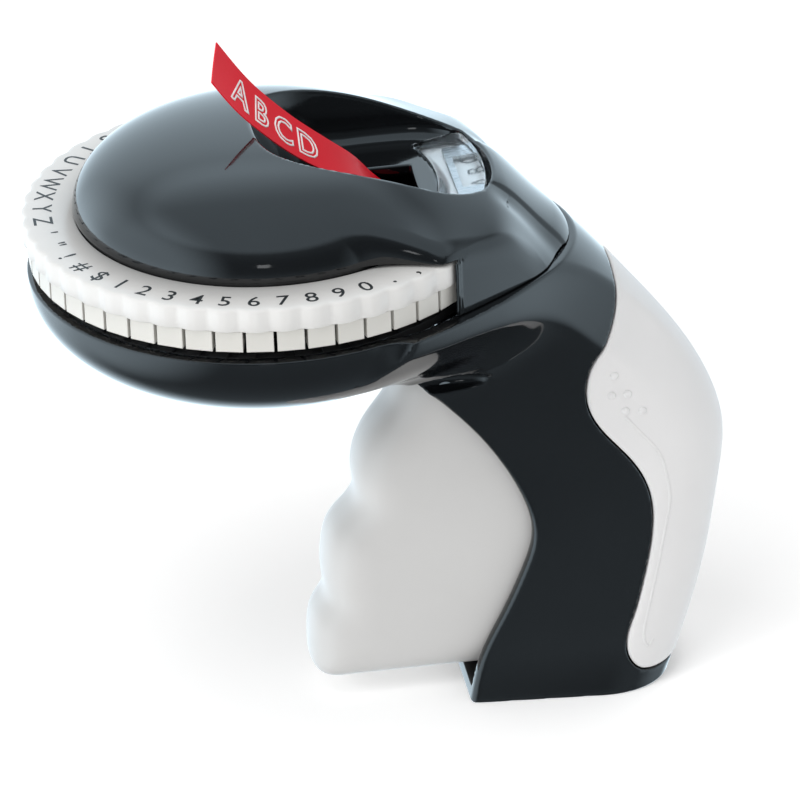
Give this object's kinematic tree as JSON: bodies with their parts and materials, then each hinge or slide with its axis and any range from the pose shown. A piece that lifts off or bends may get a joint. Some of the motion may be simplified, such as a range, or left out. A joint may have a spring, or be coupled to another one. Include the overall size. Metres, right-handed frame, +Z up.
{
  "type": "embossing label maker",
  "caption": "Hand-held embossing label maker: round character dial on a glossy head, squeeze lever, soft grip and a strip of tape leaving a scoop in the top.",
  "frame": {"origin": "centre of the bounding box in plan, on the flat base of the handle", "axes": "+X out of the front of the head, +Y to the tool's left, +Z up along the handle"},
  "size_m": [0.1451, 0.1, 0.1508],
  "materials": {
    "black_gloss": "glossy moulded plastic, black",
    "soft_grip": "soft satin white",
    "clear_lens": "clear window",
    "steel": "plain steel",
    "inner_plastic": "grey engineering plastic",
    "red_tape": "glossy red tape",
    "white_lever": "satin white",
    "white_dial": "satin warm white",
    "feed_rubber": "dark rubber"
  },
  "bodies": {
    "housing": {"housing": "black_gloss", "top_cover": "black_gloss", "grip": "soft_grip", "lens": "clear_lens", "mech_frame": "steel", "anvil_plate": "steel", "axle": "steel", "spring_post": "black_gloss", "detent_spring": "steel", "trigger_pin": "steel", "trigger_spring": "steel", "hammer_spring": "steel", "feed_bracket": "steel", "pinch_shaft": "steel", "tape_guide": "inner_plastic", "roll_pin": "steel", "cover_screws": "steel", "tape": "red_tape"},
    "trigger": {"trigger": "white_lever", "trigger_crank": "steel", "crank_roller": "steel"},
    "hammer": {"hammer": "steel", "cutter_blade": "steel"},
    "dial": {"dial_ring": "white_dial", "die_fingers": "white_dial", "counter_die": "inner_plastic"},
    "feed": {"feed_roller": "feed_rubber", "feed_shaft": "steel", "ratchet_wheel": "inner_plastic"},
    "pinch": {"pinch_roller": "feed_rubber"},
    "roll": {"tape_roll": "red_tape", "spool": "inner_plastic"}
  },
  "joints": [
    {"name": "trigger_hinge", "type": "hinge", "parent": "housing", "child": "trigger", "pos_m": [-0.012, 0, 0.075], "axis": [0, 1, 0], "range_deg": [0, 12], "stiffness_Nm_per_rad": 1.2, "springref_deg": -11.46, "deforming": ["trigger_spring"]},
    {"name": "hammer_slide", "type": "slide", "parent": "housing", "child": "hammer", "axis": [0, 0, 1], "range_m": [0, 0.002], "deforming": ["hammer_spring"]},
    {"name": "dial_spin", "type": "hinge", "parent": "housing", "child": "dial", "pos_m": [0.0225, 0, 0.1155], "axis": [0, 0, 1], "continuous": true},
    {"name": "feed_spin", "type": "hinge", "parent": "housing", "child": "feed", "pos_m": [-0.0315, 0, 0.0989], "axis": [0, 1, 0], "continuous": true},
    {"name": "pinch_spin", "type": "hinge", "parent": "housing", "child": "pinch", "pos_m": [-0.0315, 0, 0.1072], "axis": [0, 1, 0], "continuous": true},
    {"name": "roll_spin", "type": "hinge", "parent": "housing", "child": "roll", "pos_m": [-0.0525, 0, 0.0595], "axis": [0, 1, 0], "continuous": true}
  ],
  "couplings": [
    {"joint": "hammer_slide", "follows": "trigger_hinge", "m_per_rad": 0.0094},
    {"joint": "feed_spin", "follows": "roll_spin", "ratio": -2.4038},
    {"joint": "pinch_spin", "follows": "roll_spin", "ratio": 4.8077}
  ]
}
